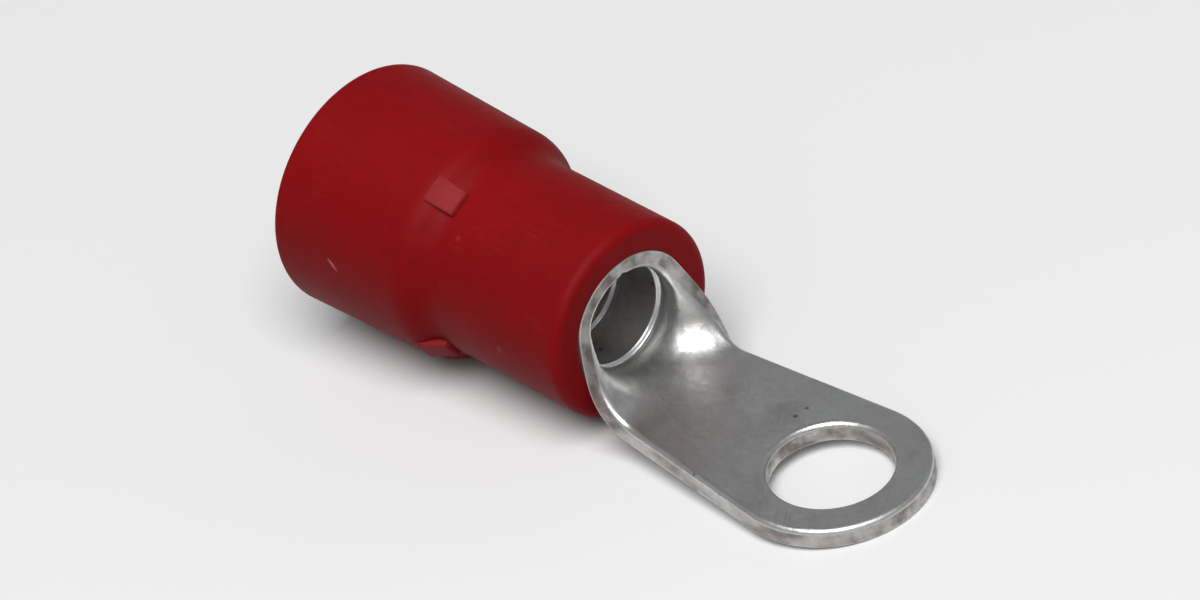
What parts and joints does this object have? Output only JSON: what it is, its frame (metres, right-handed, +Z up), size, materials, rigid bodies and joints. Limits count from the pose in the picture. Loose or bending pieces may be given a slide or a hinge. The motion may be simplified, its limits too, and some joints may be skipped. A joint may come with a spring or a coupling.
{
  "type": "ring terminal",
  "caption": "Ring terminal: a rolled barrel that opens into a flat round-headed tongue with a stud hole, in a stepped insulating sleeve with a flared wire end.",
  "frame": {"origin": "middle of the bounding box, on the surface the part lies on", "axes": "+X runs from the sleeve's mouth towards the stud end, as it lies; +Y is across the tongue; +Z is up from the surface. The barrel's axis is in the XZ plane, 4.8 degrees nose down, because the part lies on the bell of its sleeve and the tip of its tongue."},
  "size_m": [0.0318, 0.0108, 0.0112],
  "materials": {
    "tinned_copper": "dull bright tin plating",
    "red_nylon": "moulded nylon, slightly glossy and slightly translucent"
  },
  "bodies": {
    "root": {"terminal": "tinned_copper", "sleeve": "red_nylon"}
  },
  "joints": []
}
